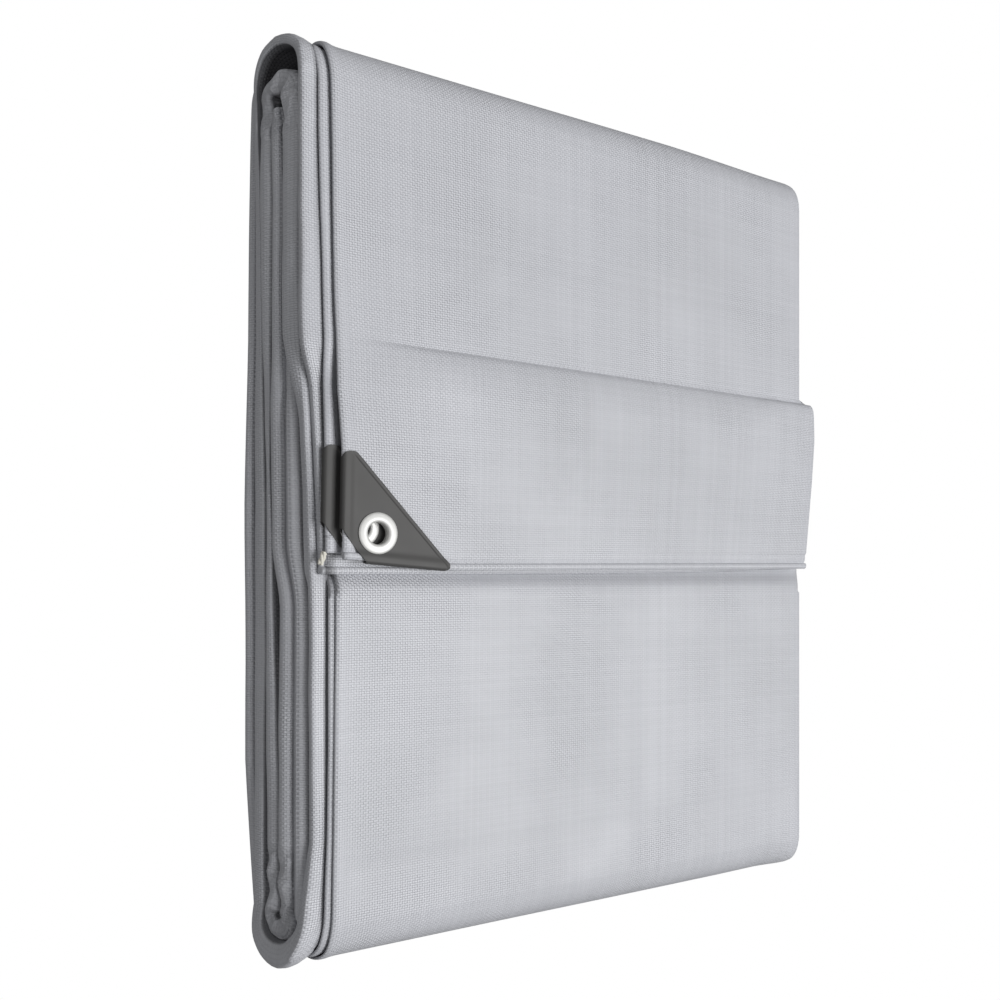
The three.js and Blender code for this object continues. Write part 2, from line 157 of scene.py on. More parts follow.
# The route of the folded strip, from the flap's hem to the core
ROUTE = [
    fold_row(FLAP_END_Y, FLAP_Z, 0, -178, -185.7, FLAP, fold=183.5, skew=2.5, lag=3.5, cut=4, fine=True),
    fold_row(28, FLAP_Z, 0, -178.6, -186, FLAP, fold=191, cut=4.2, fine=True),
    fold_row(STEP_START, FLAP_Z, 0, -180.2, -186, FLAP, fold=193.5, skew=-3, cut=1.6, fine=True),
    fold_row(STEP_STOP, FRONT_Z, 0, -179.4, -185.6, WRAP, fold=193, skew=-4, cut=1.2, fine=True),
    fold_row(STEP_STOP + 3, FRONT_Z, 0, -179.4, -185.6, WRAP, skew=-4, cut=5, fine=True),
    fold_row(SHOULDER_Y, FRONT_Z, 0, -182, -187.5, WRAP, cut=3.2, fine=True),
    fold_row(END_Y, END_Z, 90, -185, -191, WRAP_TURN, cut=3.2, fine=True),
    fold_row(SHOULDER_Y, BACK_Z, 180, -207, -210, WRAP_BACK, cut=20, fine=True),
    fold_row(0, BACK_Z, 180, -210, -213.6, WRAP_WAIST, cut=20, fine=True),
    fold_row(-150, BACK_Z, 180, -210, -213, WRAP_HEEL, cut=20, fine=True),
    fold_row(-SHOULDER_Y, BACK_Z, 180, -207, -208.6, WRAP_HEEL, cut=3.2, fine=True),
    fold_row(-END_Y, END_Z, 270, -187, -191, WRAP_FOOT, cut=3.2, fine=True),
    fold_row(-SHOULDER_Y - CALF, END_Z + CALF, 315, -183, -187, WRAP_CALF, cut=3.2, fine=True),
    fold_row(-SHOULDER_Y, FRONT_Z, 360, -181, -184.5, WRAP_KNEE, cut=4, fine=True),
    fold_row(-190, FRONT_Z, 360, -180, -183, WRAP_LOW, cut=5, fine=True),
    fold_row(FLAP_END_Y - 11, FRONT_Z, 360, -179, -182, WRAP_LOW, cut=3),
    fold_row(FLAP_END_Y + 1, PRESSED_Z, 360, -179, -182, PRESSED, fold=FOLD_X + 5),
    fold_row(40, PRESSED_Z, 360, -181, -181, PRESSED, cut=5),
    fold_row(100, INNER_FRONT_Z, 360, -182, -181, CORE),
    fold_row(165, INNER_FRONT_Z, 360, -182, -181, CORE, cut=3.5),
    fold_row(INNER_SHOULDER_Y, INNER_FRONT_Z, 360, -182, -181, CORE, cut=2.5),
    fold_row(INNER_SHOULDER_Y, INNER_BACK_Z, 540, -190, -188, CORE_BACK, cut=3.5),
    fold_row(165, INNER_BACK_Z, 540, -190, -188, CORE_BACK),
    fold_row(20, INNER_BACK_Z, 540, -190, -188, CORE_WAIST),
    fold_row(-150, INNER_BACK_Z, 540, -190, -188, CORE_HEEL, cut=3.5),
    fold_row(INNER_HEEL_Y, INNER_BACK_Z, 540, -190, -188, CORE_HEEL, cut=2.5),
    fold_row(CORE_FOOT_Y, (INNER_BACK_Z + INNERMOST_Z) / 2, 630, -193, -183, CORE_TOE, cut=2.5),
    fold_row(INNER_HEEL_Y, INNERMOST_Z, 720, -196.2, -178, CORE_LOW, cut=3.5),
    fold_row(-150, INNERMOST_Z, 720, -196.2, -178, CORE_LOW),
    fold_row(-60, INNERMOST_Z, 720, -196.4, -178, CORE_LOW),
    fold_row(-20, INNERMOST_Z - 4, 720, -199.6, -178, CORE_MIDDLE),
    fold_row(40, INNERMOST_Z - 4, 720, -200, -178, CORE_MIDDLE, cut=5),
    fold_row(100, HEART_Z, 720, -199, -182, HEART),
    fold_row(135, HEART_Z, 720, -184, -182, HEART),
    fold_row(222, HEART_Z - 1, 720, -184, -182, HEART),
]

# The hem, cloth turned over a rope: how far in from the edge and the share of the bead's height
HEM_LOOP = [(10, -0.45), (7, -0.5), (4.6, -0.8), (3, -1), (1.3, -0.85), (0.25, -0.45), (0, 0),
            (0.25, 0.45), (1.3, 0.85), (3, 1), (4.6, 0.7), (6.4, 0.3), (9, 0.05)]
HEM_REACH = 11

# The steps of the hem that the coarser stations keep
HEM_COARSE = (10, 3, 0, 9)

# The flap's end hem is the same with the groove of its weld in front, and nearly flat at its rear corner
END_BEAD = 1.5
END_FLAT_CORNER = 0.8
END_LOOP = HEM_LOOP[:9] + [(2.3, 0.95), (3.1, 0.7), (3.6, -0.5), (4.3, -0.7), (5.6, -0.2),
                           (7.5, 0), (9.2, 0)]

# How far the flap's corner is drawn up, its lining hangs below its hem, and where its skew starts
CORNER_CURL = 6
LINING_DROP = 2.2
SKEW_FROM = -102

# How uneven the left ends and the noses are along the route: height, length and start of each wave
UNEVEN_WAVES = [(0.5, 83, 0.3), (0.3, 47, 1.9), (0.1, 21, 4.1)]
SWELL_WAVES = [(0.04, 137, 0.8), (0.024, 71, 2.2)]

# How far the inner fold lies inside the outer one, and how much it bulges
INNER_FOLD = 7
INNER_BULGE = 2

# How finely a section is cut, how round its fold is, and where a nose starts and how it swells
OUTER_NODES = 68
FOLD_CUTS = 9
FOLD_ROUNDNESS = 0.3
NOSE_STEPS = (16, 11, 7, 3.5, 0)
NOSE_REACH = 19
NOSE_CUTS = 10
NOSE_ROOT = 26
PLY_SHARES = (0, 0.3, 0.6, 0.8)
INNER_SHARES = (0, 0.2, 0.4, 0.55, 0.68, 0.78, 0.84, 0.88, 0.91, 0.94, 0.97, 1)

# Soft creases of the front face: both ends, half width and how far they stand out of the cloth. They
# fade out over a short run, and the face waves a little between them
CREASES = [
    dict(x=(-125, -125), y=(-20, 40), width=3.2, rise=0.35),
    dict(x=(-150, -95), y=(14, 9), width=3, rise=-0.3),
    dict(x=(-126, -124), y=(-215, -50), width=3.2, rise=-0.35),
    dict(x=(24, 26), y=(-235, -95), width=5, rise=0.6),
    dict(x=(36, 34), y=(-225, -110), width=3.4, rise=-0.4),
    dict(x=(130, 131), y=(-195, -120), width=4, rise=0.45),
    dict(x=(-170, 183), y=(-206, -201), width=3.5, rise=-0.55),
    dict(x=(0, 2), y=(105, 200), width=4, rise=0.4),
    dict(x=(-110, -60), y=(110, 165), width=5, rise=0.45),
    dict(x=(-95, -48), y=(105, 150), width=4, rise=-0.35),
    dict(x=(45, 46), y=(-20, 60), width=4, rise=0.2),
    dict(x=(110, 140), y=(15, 50), width=5, rise=0.22),
]
CREASE_FADE = 14
WAVE_HEIGHT = 0.3

# How much longer than even the pack is: its top, less at the right, its foot, and the foot's right corner
TOP_RISE = 0.9
TOP_RIGHT_FALL = 3
FOOT_DROP = 0.6
FOOT_RIGHT_DROP = 2.2

# The power that rounds the step above the flap, in its middle and at the squarer right end
STEP_ROUND = 2.6
STEP_SQUARE = 9

# Sharp crumples of the inner turns: height, length, direction and start
CRUMPLES = [
    (0.5, 31, 0.8, 0.5, 0.3, 0.1),
    (0.7, 19, -0.3, 0.9, 0.4, 0.35),
    (0.6, 12, 0.5, -0.6, 0.7, 0.7),
]

# How far crumples move the cloth each way, the outer turns' share of them, and where they are sharp
CRUMPLE_ACROSS = 0.8
CRUMPLE_ALONG = 0.6
CRUMPLE_UP = 0.35
WRAP_CRUMPLE = 0.12
SHARP_CRUMPLE = 0.4


def smooth(t):
    """A share between 0 and 1, eased at both ends."""
    t = np.clip(t, 0, 1)
    return t * t * (3 - 2 * t)


def ramp(value, start, run):
    """Nothing up to start, one after a run from there, and eased between."""
    return smooth((value - start) / run)


def mix(a, b, t):
    """The value a share t of the way from a to b."""
    return a + (b - a) * t


def squared(value, power):
    """A sine or cosine drawn out, so that a round turn becomes a squarer one."""
    return math.copysign(abs(value) ** power, value)


def ripple(p, waves):
    """A sum of sine waves along p, each with its height, length and start."""
    return sum(height * np.sin(2 * np.pi * p / length + start) for height, length, start in waves)


def facets(x, y, z, start):
    """A sum of sharp zigzags in several directions, as crumpled film has."""
    total = 0
    for height, length, dx, dy, dz, offset in CRUMPLES:
        turn = (x * dx + y * dy + z * dz) / length + offset + start
        total = total + height * (4 * np.abs(turn - np.floor(turn + 0.5)) - 1)
    return total


def span_stations(a, b):
    """The stations of one span of the route: a straight leg, a step or a turn."""
    turning = a["lean"] != b["lean"]
    drop = (squared(math.cos(math.radians(a["lean"])), END_ROUNDNESS)
            - squared(math.cos(math.radians(b["lean"])), END_ROUNDNESS))
    radius = abs((b["z"] - a["z"]) / drop) if turning else 0
    turned = math.radians(b["lean"] - a["lean"])
    length = turned * radius if turning else math.hypot(b["y"] - a["y"], b["z"] - a["z"])
    count = math.ceil(length / a["cut"])
    for i in range(count):
        t = i / count
        eased = t if turning or a["z"] == b["z"] else float(smooth(t))
        row = {key: mix(a[key], b[key], eased) for key in a}
        row["y"] = mix(a["y"], b["y"], t)
        row["fine"] = a["fine"]
        if turning:
            start = math.radians(a["lean"])
            here = math.radians(row["lean"])
            power = END_ROUNDNESS
            row["y"] = a["y"] + radius * (squared(math.sin(here), power) - squared(math.sin(start), power))
            row["z"] = a["z"] + radius * (squared(math.cos(here), power) - squared(math.cos(start), power))
            swing = 1 - (1 - t) ** 2 if b["lean"] % 360 == 180 else t * t if a["lean"] % 360 == 180 else t
            for hem in ("outer_hem", "inner_hem"):
                row[hem] = mix(a[hem], b[hem], swing)
        yield row


def end_hem(stations):
    """The stations with the flap's end turned over its rope, in place of the first few."""
    flat = [dict(row, rise=0.0) for row in stations if row["y"] > FLAP_END_Y + HEM_REACH or row["lean"] > 0]
    hem = [dict(stations[0], y=FLAP_END_Y + along, rise=rise) for along, rise in END_LOOP]
    return hem + flat


def route_stations():
    """The route cut into stations: every column as an array, and how far along each lies."""
    stations = [row for a, b in zip(ROUTE[:-1], ROUTE[1:]) for row in span_stations(a, b)]
    stations = end_hem(stations + [dict(ROUTE[-1])])
    table = {key: np.array([row[key] for row in stations]) for key in stations[0]}
    steps = np.hypot(np.diff(table["y"]), np.diff(table["z"]))
    table["along"] = np.concatenate([[0], np.cumsum(steps)])
    return table


def flank(y, z):
    """Where the left side of the pack lies at a place along it and a height."""
    upper = ramp(y, -90, 200)
    return mix(np.interp(z, FLANK_HEIGHTS, FLANK_LOWER), np.interp(z, FLANK_HEIGHTS, FLANK_UPPER), upper)


class Section:
    """The nodes of every section: how far across and how deep each lies, how much painted shade darkens it,
    and what it belongs to.
    """

    def __init__(self, t):
        self.t = t
        self.nodes = []
        along = t["along"]
        uneven = ripple(along, UNEVEN_WAVES)
        self.swell = 1 + ripple(along, SWELL_WAVES)
        sway = t["sway"]
        self.outer_hem = t["outer_hem"] + sway * (0.5 * np.sin(along / 33 + 0.4) + 0.2 * uneven)
        self.inner_hem = t["inner_hem"] + sway * (0.6 * np.sin(along / 27 + 1.3) + 0.2 * uneven)
        self.nose_sway = sway * (0.7 * np.sin(along / 38 + 2.1) + 0.5 * uneven)
        self.run()
        self.x = np.stack([n[0] for n in self.nodes], axis=1)
        self.inset = np.stack([n[1] for n in self.nodes], axis=1)
        # How much painted shade darkens each node: the cloth's colour is made dark where it lies in shade
        # between the plies
        self.painted_shade = np.stack([n[2] for n in self.nodes], axis=1)
        columns = list(zip(*self.nodes))[3:]
        self.ply, self.side, self.coarse = (np.array(column) for column in columns)

    def put(self, x, inset, ply, side=1.0, coarse=True, painted_shade=0.0):
        zero = 0 * self.t["y"]
        self.nodes.append((x + zero, inset + zero, painted_shade + zero, ply, side, coarse))

    def run(self):
        """Out along the outer ply, round the fold and the nose, and back to the inner ply's hem."""
        t = self.t
        near, far, inner, fold = t["near"], t["far"], t["inner"], t["fold"]
        self.hem_loop(self.outer_hem, 0, t["bead"], 0, HEM_LOOP, 1)
        for i in range(OUTER_NODES):
            share = i / (OUTER_NODES - 1)
            self.put(mix(self.outer_hem + HEM_REACH, fold - far / 2, share), 0, 0,
                     coarse=i % 7 == 0 or i == OUTER_NODES - 1)
        for i in range(1, FOLD_CUTS):
            a = math.pi * i / FOLD_CUTS
            self.put(fold - far / 2 * (1 - math.sin(a) ** FOLD_ROUNDNESS), far * (1 - math.cos(a)) / 2, 1,
                     side=math.cos(a), coarse=i % 3 == 0)
        self.nose_run(near, far, fold)
        for i in range(1, 5):
            a = math.pi * i / 5
            self.put(fold - INNER_FOLD + INNER_BULGE * math.sin(a),
                     mix(near, inner, (1 - math.cos(a)) / 2), 2, side=math.cos(a))
        # The inner ply beneath the others gets full painted shade
        for share in INNER_SHARES:
            self.put(mix(fold - INNER_FOLD, self.inner_hem + HEM_REACH, share), inner, 2, side=-1,
                     painted_shade=1.0)
        self.hem_loop(self.inner_hem, inner, t["inner_bead"], 2, reversed(HEM_LOOP), -1)

    def place(self, inset):
        """Where a depth of the section lies along the pack, and how high."""
        lean = np.radians(self.t["lean"])
        return self.t["y"] - np.sin(lean) * inset, self.t["z"] - np.cos(lean) * inset

    def hem_loop(self, edge, inset, bead, ply, loop, side):
        """A hem's bead, leaning with the side of the pack where it is a thick one."""
        for along, rise in loop:
            depth = inset - rise * bead
            tilt = (flank(*self.place(depth)) - flank(*self.place(inset))) * ramp(bead, 2, 2)
            # Painted shade on the inner ply's hem and under the beads, where the ply above shades them
            painted_shade_share = ramp(along, 7, 3) if ply == 2 or rise < 0 else 0.0
            self.put(edge + along + tilt, depth, ply, side=side, coarse=along in HEM_COARSE,
                     painted_shade=painted_shade_share)

    def nose_run(self, near, far, fold):
        """The far and near plies with the swollen nose between them, lying on the side of the pack."""
        t = self.t
        middle = (t["nose_near"] + t["nose_far"]) / 2
        half = (t["nose_far"] - t["nose_near"]) / 2 * self.swell
        reach = np.clip(half, 1.5, mix(2.5, 7, t["roundness"]))
        set_back = t["back"] + self.nose_sway
        far_root = flank(*self.place(middle + half)) + set_back + reach
        near_root = flank(*self.place(middle - half)) + set_back + t["slant"] + reach
        # Painted shade on the plies within the nose, on its far side and on the near ply under the inner
        # hem
        for share in PLY_SHARES:
            self.put(mix(fold - far / 2, far_root + NOSE_ROOT, share), far, 1, side=-1, painted_shade=1.0)
        for d in NOSE_STEPS:
            self.put(far_root + d, mix(middle + half, far, smooth(d / NOSE_REACH)), 1, side=-1,
                     painted_shade=ramp(d, -3, 5))
        for i in range(1, NOSE_CUTS):
            a = math.pi * i / NOSE_CUTS
            depth = middle + half * math.cos(a)
            tip = flank(*self.place(depth)) + set_back + t["slant"] * (1 - math.cos(a)) / 2
            self.put(tip + reach * (1 - math.sin(a) ** t["roundness"]), depth, 1, side=-math.cos(a),
                     painted_shade=0.75 * ramp(math.cos(a), 0.84, 0.13))
        for d in reversed(NOSE_STEPS):
            self.put(near_root + d, mix(middle - half, near, smooth(d / NOSE_REACH)), 1,
                     painted_shade=ramp(near_root + d - self.inner_hem, -3, 5))
        for share in reversed(PLY_SHARES):
            self.put(mix(fold - INNER_FOLD, near_root + NOSE_ROOT, share), near, 1, painted_shade=1.0)


def crease_lift(x, y):
    """How far the creases of the front face lift a point of it."""
    lift = np.zeros_like(x)
    for crease in CREASES:
        start = np.array([crease["x"][0], crease["y"][0]])
        run = np.array([crease["x"][1], crease["y"][1]]) - start
        length = np.hypot(*run)
        way = run / length
        along = (x - start[0]) * way[0] + (y - start[1]) * way[1]
        aside = (y - start[1]) * way[0] - (x - start[0]) * way[1]
        ends = smooth(along / CREASE_FADE + 0.5) * smooth((length - along) / CREASE_FADE + 0.5)
        lift = lift + crease["rise"] * np.exp(-(aside / crease["width"]) ** 2) * ends
    return lift


def shoulder_lift(t, x, outer):
    """What turns the even step above the flap into a shoulder: soft at the left, square at the right."""
    share = np.clip((t["y"] - STEP_START) / (STEP_STOP - STEP_START), 0, 1)
    right = ramp(x, 130, 30)
    power = mix(STEP_ROUND, STEP_SQUARE, right)
    sharp = FLAP_RISE * np.sqrt(np.clip(1 - share[:, None] ** power, 0, 1))
    soft = FLAP_RISE * (1 - ramp(t["y"], 15, 130))
    left = 1 - ramp(x, -176, 70)
    even = (t["z"] - FRONT_Z)[:, None]
    near_step = (t["lean"] == 0) & (t["y"] > 0)
    shaped = mix(mix(even, sharp, np.maximum(outer, right)), soft[:, None], left)
    return near_step[:, None] * (shaped - even)


def sheet_places(t, section):
    """Where every node of every section lies, in millimetres, and how crumpled the cloth is there."""
    x = section.x
    ply = section.ply[None, :]
    lean = np.radians(t["lean"])[:, None]
    share = np.clip((x - SKEW_FROM) / (FOLD_X - SKEW_FROM), 0, 1)
    lag = t["lag"][:, None] * (ply == 2) * (1 - share)
    curl = (t["lean"] == 0) * (1 - ramp(t["y"], FLAP_END_Y, 55))
    curl = curl[:, None] * (1 - ramp(x, -182, 78)) * CORNER_CURL * (ply != 1)
    longer = ((t["lean"] == 0) * (1 - ramp(t["y"], FLAP_END_Y, 30)))[:, None]
    longer = LINING_DROP * (ply == 1) * longer * (1 - ramp(x, 140, 30))
    shift = t["skew"][:, None] * share + lag + curl - longer
    corner = (ply == 2) * (1 - ramp(x, -180, 20))
    bead = END_BEAD * (1 - END_FLAT_CORNER * corner) * t["rise"][:, None]
    inset = section.inset - bead * section.side[None, :]
    y = t["y"][:, None] - np.sin(lean) * inset + shift
    z = t["z"][:, None] - np.cos(lean) * inset
    front = np.clip(np.cos(lean), 0, 1) * (ply == 0) * (t["fine"] > 0)[:, None]
    z = z + shoulder_lift(t, x, ply == 0)
    waves = WAVE_HEIGHT * np.sin(x / 31 + 0.7) * np.sin(y / 47 + 1.1)
    z = z + front * (crease_lift(x, y) + waves)
    taller_top = (TOP_RISE - TOP_RIGHT_FALL * ramp(x, 60, 130)) * ramp(y, 150, 90)
    taller_foot = FOOT_DROP * (1 - ramp(x, 110, 70)) * ramp(-y, 150, 90)
    squarer_foot = FOOT_RIGHT_DROP * ramp(x, 150, 30) * ramp(-y, 215, 30) * ramp(z, 35, 20)
    y = y + taller_top - taller_foot - squarer_foot
    inside = ((t["fine"] == 0)[:, None] + WRAP_CRUMPLE) * (ply == 1)
    ends = ramp(y, 200, 16) + ramp(-y, 192, 16)
    weight = inside * ends * ramp(-x, 165, 22)
    crumpled_x = x + CRUMPLE_ACROSS * weight * facets(x, y, z, 0)
    crumpled_y = y + CRUMPLE_ALONG * weight * facets(x, y, z, 0.4)
    crumpled_z = z + CRUMPLE_UP * weight * facets(x, y, z, 0.8)
    return np.stack([crumpled_x, crumpled_y, crumpled_z], axis=2), weight


def sheet_faces(fine, coarse):
    """Quads between neighbouring stations, with inner stations on fewer nodes."""
    faces = []
    count = len(coarse)
    every = np.arange(count)
    some = np.flatnonzero(coarse)
    for s in range(len(fine) - 1):
        here = every if fine[s] else some
        there = every if fine[s + 1] else some
        a = s * count
        b = a + count
        if len(here) == len(there):
            quads = np.stack([a + here[:-1], a + here[1:], b + here[1:], b + here[:-1]], axis=1)
            faces.extend(quads.tolist())
            continue
        for low, high in zip(some[:-1], some[1:]):
            run_here = list(range(low, high + 1)) if fine[s] else [low, high]
            run_there = list(range(low, high + 1)) if fine[s + 1] else [low, high]
            faces.append([a + k for k in run_here] + [b + k for k in reversed(run_there)])
    return faces


def eyelet_place(name):
    """Where an eyelet's axis crosses the ply that it sits in, in millimetres."""
    low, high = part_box("eyelet_" + name)
    middle = (Vector(low) + Vector(high)) / 2 / MM
    return Vector((middle.x, middle.y, middle.z - EYELET_MIDDLE))


def new_object(name, points, faces, material):
    """A smooth mesh object from points in millimetres."""
    mesh = bpy.data.meshes.new(name)
    mesh.from_pydata((np.asarray(points) * MM).tolist(), [], faces)
    mesh.materials.append(material)
    mesh.polygons.foreach_set("use_smooth", [True] * len(mesh.polygons))
    obj = bpy.data.objects.new(name, mesh)
    bpy.context.collection.objects.link(obj)
    return obj


def plain_mesh(obj):
    """The object with its modifiers worked into a plain mesh."""
    graph = bpy.context.evaluated_depsgraph_get()
    made = bpy.data.meshes.new_from_object(obj.evaluated_get(graph))
    obj.modifiers.clear()
    old = obj.data
    obj.data = made
    bpy.data.meshes.remove(old)
    return obj


def thicken(obj, thickness, offset):
    """A wall of the given thickness on an open surface."""
    wall = obj.modifiers.new("wall", "SOLIDIFY")
    wall.thickness = thickness * MM
    wall.offset = offset


def set_uv(obj, name, places):
    """A UV map from one place for each vertex."""
    layer = obj.data.uv_layers.new(name=name)
    loops = np.zeros(len(obj.data.loops), dtype=np.int32)
    obj.data.loops.foreach_get("vertex_index", loops)
    layer.data.foreach_set("uv", np.asarray(places)[loops].ravel())


def clear_of_eyelets(faces, flat, section):
    """The faces left once both hemmed plies are cut out round their eyelets."""
    holes = {0: eyelet_place("front"), 2: eyelet_place("rear")}
    count = len(section.ply)
    kept = []
    for face in faces:
        hole = holes.get(int(section.ply[face[0] % count]))
        if hole:
            middle = flat[face].mean(axis=0)
            beside = math.hypot(middle[0] - hole.x, middle[1] - hole.y)
            if beside < EYELET_BARREL + CLOTH_GAP and abs(middle[2] - hole.z) < 4:
                continue
        kept.append(face)
    return kept


def tarp_sheet(material):
    """The folded sheet with its hems, creases and eyelet holes."""
    t = route_stations()
    section = Section(t)
    places, crumpled = sheet_places(t, section)
    stations, count = section.x.shape
    flat = places.reshape(-1, 3)
    faces = clear_of_eyelets(sheet_faces(t["fine"] > 0, section.coarse), flat, section)
    used = np.unique(np.concatenate([np.array(f) for f in faces]))
    number = np.full(len(flat), -1)
    number[used] = np.arange(len(used))
    kept = [[int(number[i]) for i in face] for face in faces]
    sheet = new_object("tarp_sheet", flat[used], kept, material)
    sharp = [crumpled.ravel()[face].mean() > SHARP_CRUMPLE for face in faces]
    sheet.data.polygons.foreach_set("use_smooth", np.logical_not(sharp))
    steps = np.linalg.norm(np.diff(places, axis=1), axis=2).mean(axis=0)
    across = np.concatenate([[0], np.cumsum(steps)])
    u = np.tile(across, stations)[used] * MM
    v = np.repeat(t["along"], count)[used] * MM
    set_uv(sheet, "cloth", np.stack([u, v], axis=1))
    # Painted shade is taken off the plies that show at the flap's end, right of the pack's left side
    in_sight = (t["lean"] == 0) & (t["y"] < FLAP_END_Y + 2 * HEM_REACH)
    painted_shade = section.painted_shade * (1 - in_sight[:, None] * ramp(section.x, -185, 8))
    for name, values in (("painted_shade", painted_shade), ("crumpled", crumpled)):
        layer = sheet.data.attributes.new(name, "FLOAT", "POINT")
        layer.data.foreach_set("value", values.ravel()[used])
    thicken(sheet, CLOTH, 0)
    return plain_mesh(sheet)


def along_polyline(points, shares):
    """Points at the given shares of a line's length."""
    points = np.array(points, dtype=float)
    steps = np.hypot(*np.diff(points, axis=0).T)
    reached = np.concatenate([[0], np.cumsum(steps)]) / steps.sum()
    return np.stack([np.interp(shares, reached, points[:, i]) for i in range(2)], axis=1)


def blunt_tip(start, tip, stop):
    """A blunt tip from start to stop, as two runs that meet at its middle."""
    t = np.linspace(0, 1, 13)[:, None]
    curve = (1 - t) ** 2 * start + 2 * t * (1 - t) * tip + t ** 2 * stop
    return curve[:7], curve[6:]


def slant_ends():
    """The two ends of the protector's slanting edge."""
    top = np.array([CORNER_EDGE + CORNER_TOP_WIDTH, CORNER_LEG_Y + CORNER_EDGE])
    right = np.array([CORNER_LEG_X + CORNER_EDGE, CORNER_EDGE + CORNER_RIGHT_HEIGHT])
    return top, right


def corner_net(u, v):
    """The protector's outline filled with points: u from its left edge to its lower, v outwards."""
    edge = CORNER_EDGE
    top, right = slant_ends()
    top_in, top_out = blunt_tip(np.array([edge, top[1] - 4]), np.array([edge + 1, top[1] + 0.6]), top)
    right_out, right_in = blunt_tip(right, np.array([right[0] + 1, edge]), np.array([right[0] - 4, edge]))
    left_foot = np.array([edge, CORNER_CHAMFER_Y])
    lower_foot = np.array([CORNER_CHAMFER_X, edge])
    left = along_polyline([left_foot, *top_in], v)[:, None]
    lower = along_polyline([lower_foot, *right_in[::-1]], v)[:, None]
    cut = along_polyline([left_foot, lower_foot], u)[None]
    slant = along_polyline([*top_out, *right_out], u)[None]
    u = u[None, :, None]
    v = v[:, None, None]
    ends = ((1 - u) * (1 - v) * left_foot + u * (1 - v) * lower_foot
            + (1 - u) * v * top_in[-1] + u * v * right_in[0])
    return (1 - u) * left + u * lower + (1 - v) * cut + v * slant - ends


def corner_height(x, y):
    """How high the protector's plate stands over its ply: raised over both hems, closed at both edges."""
    height = CORNER_PLATE
    closed = 1
    for across in (x - CORNER_EDGE, y - CORNER_EDGE):
        hump = mix(CORNER_PLATE, CORNER_CREST, smooth((CREST_REACH - across) / CREST_SLOPE))
        height = np.maximum(height, hump)
        open_share = np.clip(across / CORNER_CLOSING, 0, 1)
        closed = closed * np.sqrt(np.clip(1 - (1 - open_share) ** 2, 0, 1))
    top, right = slant_ends()
    run = (top - right) / np.hypot(*(top - right))
    from_slant = (y - right[1]) * run[0] - (x - right[0]) * run[1]
    rim = RIM_HEIGHT * (smooth(from_slant / RIM_SLOPE + 0.6) - ramp(from_slant, RIM_WIDTH, RIM_SLOPE))
    return height * closed + rim * closed


def corner_sleeve(name, material):
    """One protector: a flat sleeve of plastic over both faces of the hemmed corner."""
    eyelet = eyelet_place(name)
    u = (1 - np.cos(np.linspace(0, math.pi, 46))) / 2
    v = np.concatenate([np.linspace(0, 0.93, 30), np.linspace(0.94, 1, 9)])
    net = corner_net(u, v)
    x, y = net[..., 0], net[..., 1]
    height = corner_height(x, y)
    front = np.stack([x, y, height], axis=2)
    rear = np.stack([x, y, -height], axis=2)
    loop = np.concatenate([front, rear[:, -2:0:-1]], axis=1)
    rows, count = loop.shape[:2]
    local = loop.reshape(-1, 3)
    faces = []
    for r in range(rows - 1):
        for c in range(count):
            d = (c + 1) % count
            face = [r * count + c, r * count + d, (r + 1) * count + d, (r + 1) * count + c]
            middle = local[face].mean(axis=0)
            beside = math.hypot(middle[0] - EYELET_INSET_X, middle[1] - EYELET_INSET_Y)
            if beside > EYELET_BARREL + PLATE_GAP:
                faces.append(face)
    turn = np.array([[math.cos(CORNER_TURN), -math.sin(CORNER_TURN)],
                     [math.sin(CORNER_TURN), math.cos(CORNER_TURN)]])
    flat = local[:, :2] - (EYELET_INSET_X, EYELET_INSET_Y)
    flat[:, 1] += CORNER_SLANT * flat[:, 0]
    flat = flat @ turn.T + (eyelet.x, eyelet.y)
    points = np.column_stack([flat, local[:, 2] + eyelet.z])
    sleeve = new_object("corner_sleeve_" + name, points, faces, material)
    thicken(sleeve, CORNER_WALL, -1)
    soften = sleeve.modifiers.new("soft_edges", "BEVEL")
    soften.width = 0.25 * MM
    soften.segments = 2
    soften.limit_method = "ANGLE"
    soften.angle_limit = math.radians(50)
    return plain_mesh(sleeve)


def eyelet_ring(name, material):
    """One eyelet: a rolled flange in front, a barrel through the corner and a washer behind."""
    seat = EYELET_SEAT
    hole, barrel, flange, washer = EYELET_HOLE, EYELET_BARREL, EYELET_FLANGE, EYELET_WASHER
    profile = [
        (hole, 0), (hole, -seat - 0.35), (hole + 0.25, -seat - 0.62), (barrel + 0.3, -seat - 0.7),
        (washer - 0.4, -seat - 0.62), (washer, -seat - 0.3), (washer - 0.15, -seat), (barrel, -seat),
        (barrel, seat), (flange - 0.1, seat), (flange, seat + 0.2), (flange - 0.25, seat + 0.55),
        (flange - 1.2, seat + 0.85), (flange - 2.6, seat + 1), (hole + 2.2, seat + 1.12),
        (hole + 1.1, seat + 1.02), (hole + 0.4, seat + 0.7), (hole + 0.08, seat + 0.25),
    ]
    segments = 72
    middle = eyelet_place(name)
    points = []
    for i in range(segments):
        a = 2 * math.pi * i / segments
        across, along = math.cos(a), math.sin(a)
        points += [(middle.x + r * across, middle.y + r * along, middle.z + h) for r, h in profile]
    count = len(profile)
    faces = []
    for i in range(segments):
        for k in range(count):
            a, b = i * count, ((i + 1) % segments) * count
            n = (k + 1) % count
            faces.append([a + k, b + k, b + n, a + n])
    ring = new_object("eyelet_ring_" + name, points, faces, material)
    face_outwards(ring.data)
    return ring


def face_outwards(mesh):
    """Turns every face of a closed mesh outwards."""
    work = bmesh.new()
    work.from_mesh(mesh)
    bmesh.ops.recalc_face_normals(work, faces=work.faces)
    work.to_mesh(mesh)
    work.free()


